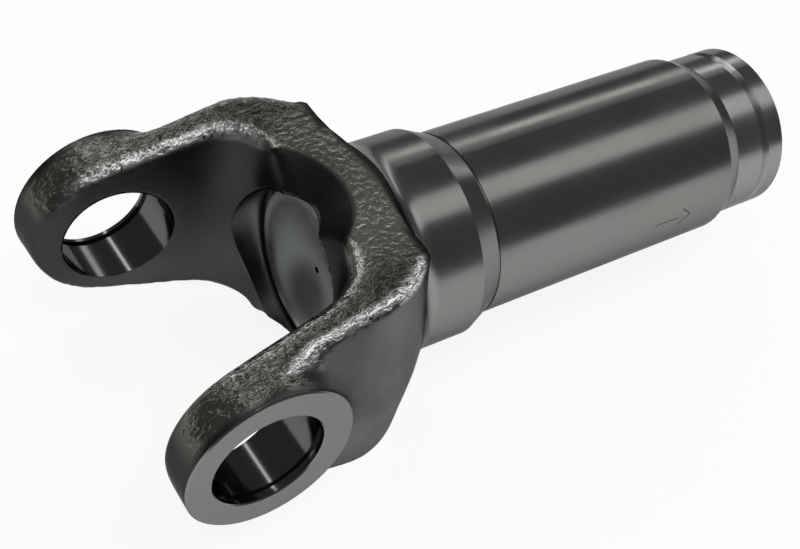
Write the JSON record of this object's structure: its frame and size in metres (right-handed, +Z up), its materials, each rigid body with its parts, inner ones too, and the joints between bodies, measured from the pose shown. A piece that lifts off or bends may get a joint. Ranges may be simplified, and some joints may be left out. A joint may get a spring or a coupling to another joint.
{
  "type": "forged yoke",
  "caption": "Forged clevis yoke with cross bores for bearing caps and a ground hollow shank that slides on a splined shaft.",
  "frame": {"origin": "where the axis of the cross bores meets the axis of the shank", "axes": "+X along the shank away from the ears, +Y along the cross bores, +Z up with the yoke lying on its side"},
  "size_m": [0.1889, 0.0874, 0.056],
  "materials": {
    "forged_steel": "dark forged skin, machined and ground on the ears' faces, bores and shank",
    "plug_steel": "pressed sheet, satin"
  },
  "bodies": {
    "root": {"forged_yoke": "forged_steel", "expansion_plug": "plug_steel"}
  },
  "joints": []
}
